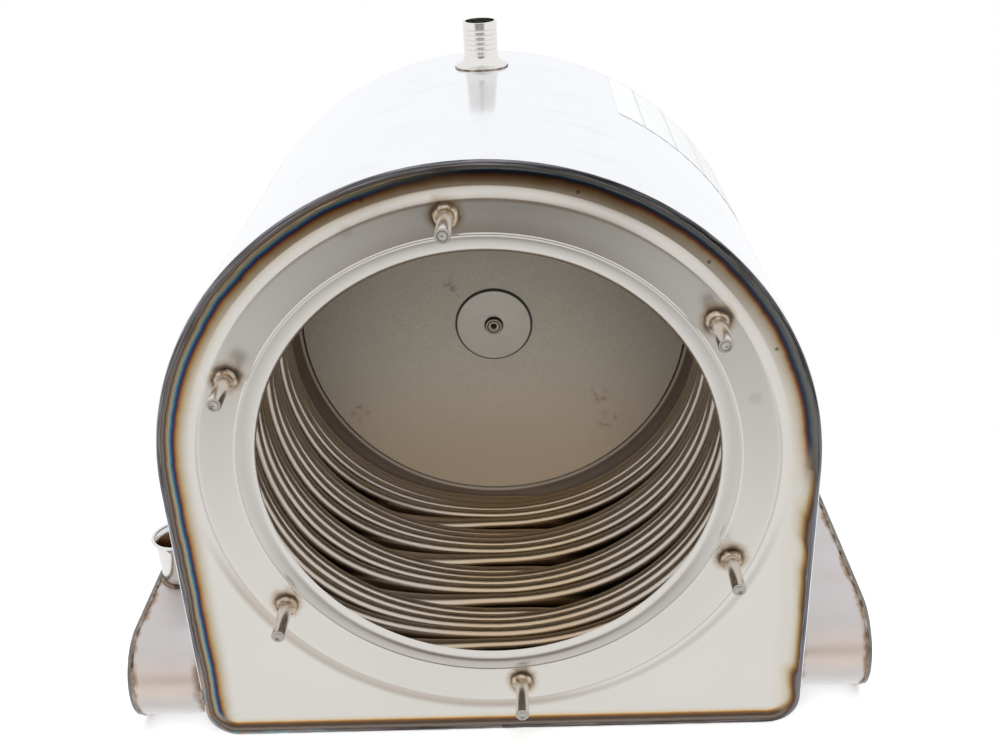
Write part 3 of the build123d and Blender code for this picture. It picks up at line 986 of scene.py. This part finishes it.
def front_plate_piece(material):
    """Pressed front plate in place of its CAD node: the sheet's face, its outer edge and its back."""
    seat = seat_profile()
    back = []
    for here, (radius, depth, drop) in enumerate(seat):
        before, after = seat[max(here - 1, 0)], seat[min(here + 1, len(seat) - 1)]
        along = Vector((after[0] - before[0], after[1] - before[1])).normalized()
        back.append((radius - along.y * SHEET, depth + along.x * SHEET, drop))
    back.reverse()
    turns = [2 * math.pi * step / PLATE_SEGMENTS for step in range(PLATE_SEGMENTS)]
    directions = [Vector((math.cos(turn), 0, math.sin(turn))) for turn in turns]

    def ring(radius, depth, drop):
        middle = Vector((0, FRONT_Y + depth, COIL_Z - STEP_DROP * drop))
        return [out * radius + middle for out in directions]

    def rim(depth):
        middle = Vector((0, FRONT_Y + depth, COIL_Z))
        return [out * rim_reach(out) + middle for out in directions]

    rings = [ring(*row) for row in seat] + [rim(PLATE_RECESS), rim(PLATE_RECESS + SHEET)]
    rings += [ring(*row) for row in back]
    points, faces = rings_to_mesh(rings, closed=True)
    piece = mesh_piece("front_plate_sheet", points, faces, material)
    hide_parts("front_plate")


def round_axis(axis, steps):
    """Turns and directions round an axis."""
    side = axis.orthogonal().normalized()
    up = axis.cross(side)
    turns = [2 * math.pi * step / steps for step in range(steps)]
    return [(turn, side * math.cos(turn) + up * math.sin(turn)) for turn in turns]


def turned(profile, centre, axis, segments, closed):
    """Skin of (along, radius) rows round an axis, where a radius may depend on the turn."""
    rings = []
    for along, radius in profile:
        ring = []
        for turn, out in round_axis(axis, segments):
            ring.append(centre + axis * along + out * (radius(turn) if callable(radius) else radius))
        rings.append(ring)
    return rings_to_mesh(rings, closed)


def stud_pieces(number, steel, weld):
    """Stud with a dimpled tip in place of its CAD node, with an uneven weld collar."""
    centre = middle_of(STUD_NAMES[number])
    centre.y = FRONT_Y
    out = Vector((0, -1, 0))
    length = FRONT_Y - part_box(STUD_NAMES[number])[0].y

    rows = [
        (0, STUD_RADIUS), (length - STUD_TIP_CHAMFER, STUD_RADIUS),
        (length - 0.3 * STUD_TIP_CHAMFER, STUD_RADIUS - 0.4 * STUD_TIP_CHAMFER),
        (length, STUD_RADIUS - STUD_TIP_CHAMFER), (length, STUD_DIMPLE_RADIUS),
        (length - 0.7 * STUD_DIMPLE_DEPTH, 0.6 * STUD_DIMPLE_RADIUS),
        (length - STUD_DIMPLE_DEPTH, 0.1 * STUD_DIMPLE_RADIUS),
    ]
    points, faces = turned(rows, centre, out, STUD_SEGMENTS, closed=False)
    rod = mesh_piece(f"stud_rod_{number + 1}", points, faces, steel)
    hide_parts(STUD_NAMES[number])

    def flash(angle):
        def radius(turn):
            seed = Vector((math.cos(turn), math.sin(turn), number * 3.7))
            lump = COLLAR_LUMP * noise.noise(seed * 1.7)
            inner = STUD_RADIUS + COLLAR_ROOM
            return inner + (COLLAR_RADIUS - inner + lump) * math.cos(angle)

        return radius

    angles = [math.pi / 2 * step / COLLAR_STEPS for step in range(COLLAR_STEPS + 1)]
    rows = [(COLLAR_HEIGHT * math.sin(angle), flash(angle)) for angle in angles]
    points, faces = turned(rows, centre, out, COLLAR_SEGMENTS, closed=False)
    mesh_piece(f"stud_weld_{number + 1}", points, faces, weld)


def stub_piece(side, material):
    """Pipe stub with a rolled lip, in place of its CAD node."""
    low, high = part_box(f"{side}_stub")
    centre = middle_of(f"{side}_stub")
    centre.z = low.z
    lip_along = high.z - low.z - STUB_LIP_RADIUS
    lip_out = STUB_RADIUS + STUB_FLARE - STUB_LIP_INSET
    neck = lip_along - STUB_FLARE
    rows = [(0, STUB_BORE), (neck - STUB_FLARE, STUB_BORE)]
    first, last = STUB_LIP_DEG
    for step in range(STUB_LIP_STEPS + 1):
        turn = math.radians(first + (last - first) * step / STUB_LIP_STEPS)
        rise, out = STUB_LIP_RADIUS * math.sin(turn), STUB_LIP_RADIUS * math.cos(turn)
        rows.append((lip_along + rise, lip_out + out))
    rows += [
        (neck - 0.4 * STUB_FLARE, STUB_RADIUS + 0.3 * STUB_FLARE),
        (neck - 1.6 * STUB_FLARE, STUB_RADIUS),
        (0, STUB_RADIUS),
    ]
    points, faces = turned(rows, centre, Vector((0, 0, 1)), STUB_SEGMENTS, closed=True)
    piece = mesh_piece(f"{side}_stub_pipe", points, faces, material)
    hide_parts(f"{side}_stub")


def bead(name, path, radius, material):
    """Closed weld bead along (point, out, side) places, a little uneven."""
    rings = []
    for place, out, side in path:
        size = radius * (1 + BEAD_UNEVEN_SHARE * noise.noise(place * BEAD_LUMPS_PER_METRE))
        ring = []
        for step in range(BEAD_POINTS):
            turn = 2 * math.pi * step / BEAD_POINTS
            ring.append(place + (out * math.cos(turn) + side * math.sin(turn)) * size)
        rings.append(ring)
    points, faces = rings_to_mesh(rings, closed=True)
    mesh_piece(name, points, faces, material)


def header_outline(name):
    """Places and outward directions round one header, in its YZ plane."""
    low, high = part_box(f"{name}_header_cover")
    radius = (high.z - low.z) / 2
    near, far = (low.y + radius, low.z + radius), (high.y - radius, low.z + radius)
    run, bend = far[0] - near[0], math.pi * radius
    legs = [
        (near, far, radius, 90, 90, run),
        (far, far, radius, 90, -90, bend),
        (far, near, radius, -90, -90, run),
        (near, near, radius, -90, -270, bend),
    ]
    return [(Vector((0, *place)), Vector((0, *out))) for place, out in rounded_path(legs, BEAD_SPACING)]


def shell_side(z):
    """Half width of the shell at a height below the arch."""
    if z > CORNER_RADIUS:
        return SHELL_RADIUS
    drop = CORNER_RADIUS - z
    return SHELL_RADIUS - CORNER_RADIUS + math.sqrt(CORNER_RADIUS ** 2 - drop ** 2)


def header_welds(name, sign, material):
    """Bead round the cover and bead where the header meets the shell."""
    across = Vector((1, 0, 0))
    cover, wall = [], []
    for place, out in header_outline(name):
        wall_x = shell_side(place.z) + WALL_BEAD_LIFT
        cover.append((place + across * (sign * HEADER_SEAM_X) - out * COVER_BEAD_SINK, out, across))
        wall.append((place + across * (sign * wall_x) - out * WALL_BEAD_SINK, out, across))
    bead(f"{name}_cover_weld", cover, COVER_BEAD, material)
    bead(f"{name}_wall_weld", wall, WALL_BEAD, material)


def ring_path(centre, axis, radius, steps):
    """Places round a circle for a bead."""
    return [(centre + out * radius, out, axis) for turn, out in round_axis(axis, steps)]


def foot_welds(material):
    """Beads round the feet of the stubs, the flue collar and the spigot."""
    up = Vector((0, 0, 1))
    for side in ("left", "right"):
        centre = middle_of(f"{side}_stub")
        centre.z = STUB_FOOT_Z
        path = ring_path(centre, up, STUB_RADIUS + FOOT_BEAD_LIFT, 60)
        bead(f"{side}_stub_weld", path, STUB_BEAD, material)
    centre = middle_of("flue_collar")
    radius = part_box("flue_collar")[1].x - centre.x
    centre.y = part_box("rear_plate")[1].y
    path = ring_path(centre, Vector((0, 1, 0)), radius + FOOT_BEAD_LIFT, 120)
    bead("flue_weld", path, FLUE_BEAD, material)
    centre = middle_of("top_spigot")
    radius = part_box("top_spigot")[1].x - centre.x
    path = ring_path(centre, up, radius + SPIGOT_BEAD_LIFT, 72)
    for place, out, side in path:
        place.z = ARCH_Z + math.sqrt(SHELL_RADIUS ** 2 - place.x ** 2) + SPIGOT_BEAD_LIFT
    bead("spigot_weld", path, SPIGOT_BEAD, material)


def label_piece(material):
    """Thin blank label that follows the arch."""
    front, rear = Vector((0, LABEL_FRONT_Y, ARCH_Z)), Vector((0, LABEL_REAR_Y, ARCH_Z))
    rings = []
    for step in range(LABEL_STEPS + 1):
        turn = LABEL_START + (LABEL_END - LABEL_START) * step / LABEL_STEPS
        out = Vector((math.cos(turn), 0, math.sin(turn)))
        inner, outer = out * SHELL_RADIUS, out * (SHELL_RADIUS + LABEL_LIFT)
        rings.append([front + inner, rear + inner, rear + outer, front + outer])
    points, faces = rings_to_mesh(rings, closed=False)
    mesh_piece("blank_label", points, faces, material)


def paint(nodes, material):
    """Gives CAD nodes a material in place of the plain one."""
    for name in nodes:
        slots = frame["nodes"][name].data.materials
        slots.clear()
        slots.append(material)


def make_camera():
    data = bpy.data.cameras.new("camera")
    data.sensor_width = SENSOR_WIDTH_MM
    data.lens = CAMERA_FOCAL_PX * SENSOR_WIDTH_MM / PICTURE_WIDTH_PX
    data.clip_start = CLIP_START
    yaw = math.radians(CAMERA_YAW_DEG)
    pitch = math.radians(CAMERA_PITCH_DEG)
    roll = math.radians(CAMERA_ROLL_DEG)
    forward = Vector((
        math.sin(yaw) * math.cos(pitch), math.cos(yaw) * math.cos(pitch), -math.sin(pitch),
    ))
    right = Vector((math.cos(yaw), -math.sin(yaw), 0))
    up = right.cross(forward)
    right_rolled = right * math.cos(roll) + up * math.sin(roll)
    up_rolled = up * math.cos(roll) - right * math.sin(roll)
    turn = Matrix((right_rolled, up_rolled, -forward)).transposed()
    camera = bpy.data.objects.new("camera", data)
    camera.matrix_world = Matrix.Translation(CAMERA_PLACE) @ turn.to_4x4()
    bpy.context.scene.collection.objects.link(camera)
    bpy.context.scene.camera = camera


def make_light():
    """White surroundings, darker in front where the photographer stands, and three soft lamps."""
    world = bpy.data.worlds.new("surroundings")
    bpy.context.scene.world = world
    world.use_nodes = True
    wires = Wires(world.node_tree)
    x, y, z = wires.parts(wires.node("ShaderNodeTexCoord").outputs["Generated"])
    front = y * -1
    aside = abs(x) / wires.most(front, 0.01)
    dark = front.span(0.15, 0.4) * aside.span(0.46, 0.26) * z.span(0.225, 0.175)
    glossy = wires.ray("Is Glossy Ray")
    seen = wires.most(wires.ray("Is Camera Ray"), wires.ray("Is Transmission Ray"))
    plain = 1 - wires.most(seen, glossy)
    background = wires.nodes["Background"].inputs
    wires.feed(background["Strength"], seen + glossy + plain * AMBIENT)
    wires.feed(background["Color"], wires.mix(dark * glossy, (1, 1, 1), FRONT_COLOUR))
    for name, place, size, power in LAMPS:
        data = bpy.data.lights.new(name, "AREA")
        data.size = size
        data.energy = power
        lamp = bpy.data.objects.new(name, data)
        lamp.location = place
        lamp.rotation_mode = "QUATERNION"
        lamp.rotation_quaternion = (LAMP_AIM - Vector(place)).to_track_quat("-Z", "Y")
        lamp.visible_glossy = False
        bpy.context.scene.collection.objects.link(lamp)


def make_floor():
    """Pale floor that keeps the object's soft shadow, white further out and dimmer far in front."""
    mesh = bpy.data.meshes.new("floor")
    signs = [(-1, -1), (1, -1), (1, 1), (-1, 1)]
    mesh.from_pydata([(x * FLOOR_HALF, y * FLOOR_HALF, 0) for x, y in signs], [], [(0, 1, 2, 3)])
    floor = bpy.data.objects.new("floor", mesh)
    bpy.context.scene.collection.objects.link(floor)
    shade = Shade("floor_look", metallic=0.0, roughness=0.9)
    shade.shader.inputs["Specular IOR Level"].default_value = 0.0
    shade.colour(shade.patches(0.4, 2, (0.92, 0.92, 0.92), (0.94, 0.94, 0.94)))
    glossy = shade.ray("Is Glossy Ray")
    reach = shade.length(shade.x / 0.24, shade.y / 0.19)
    far = shade.ray("Is Camera Ray") * reach.span(0.8, 1.7)
    run = shade.y / -2.0
    near = [(0.05, (1.0, 1.0, 1.0)), (0.16, (0.80, 0.80, 0.80))]
    ahead = shade.ramp(run, near + [
        (0.40, (0.25, 0.24, 0.23)), (0.60, (0.20, 0.175, 0.15)), (0.68, (0.16, 0.13, 0.10)),
    ])
    beside = shade.ramp(run, near + [
        (0.40, (0.50, 0.49, 0.48)), (0.56, (0.40, 0.38, 0.35)), (0.68, (0.19, 0.155, 0.12)),
    ])
    aside = abs(shade.x) / shade.most(shade.y * -1, 0.05)
    mirrored = shade.blend(ahead, (aside.span(0.03, 0.25), beside), (aside.span(0.42, 0.8), (1, 1, 1)))
    glow = shade.node("ShaderNodeEmission")
    shade.feed(glow.inputs["Color"], shade.mix(glossy, (1, 1, 1), mirrored))
    join = shade.node("ShaderNodeMixShader")
    shade.feed(join.inputs[0], shade.most(far, glossy))
    shade.links.new(shade.shader.outputs[0], join.inputs[1])
    shade.links.new(glow.outputs[0], join.inputs[2])
    shade.links.new(join.outputs[0], shade.nodes["Material Output"].inputs["Surface"])
    shade.material.cycles.emission_sampling = "NONE"
    mesh.materials.append(shade.material)


def main():
    bpy.context.scene.view_settings.view_transform = "Standard"
    make_camera()
    make_light()
    make_floor()

    stud = stud_material()
    pipe = pipe_material()
    coil = coil_material()
    weld = weld_material()
    small_bead = bead_material()
    collar = collar_material()
    plate = plate_material()

    paint(["shell"], shell_material())
    paint(["rear_plate"], plate)
    front_plate_piece(plate)
    paint(["left_header", "right_header"], header_material())
    paint(["left_header_cover", "right_header_cover"], cover_material())
    paint(["top_spigot", "flue_collar"], pipe)
    paint(["baffle_pan", "baffle_post"], pan_material())
    paint(["disc_washer", "disc_screw"], washer_material())
    paint(["insulation_disc"], board_material())
    for number in range(len(COIL_NAMES)):
        coil_piece(number, coil)
    for number in range(len(STUD_NAMES)):
        stud_pieces(number, stud, collar)
    for side, sign in (("left", -1), ("right", 1)):
        stub_piece(side, pipe)
        header_welds(side, sign, small_bead)
    foot_welds(small_bead)
    rim_weld("rim_weld_front", FRONT_Y, -1, weld)
    rim_weld("rim_weld_rear", REAR_Y, 1, weld)
    label_piece(label_material())


main()
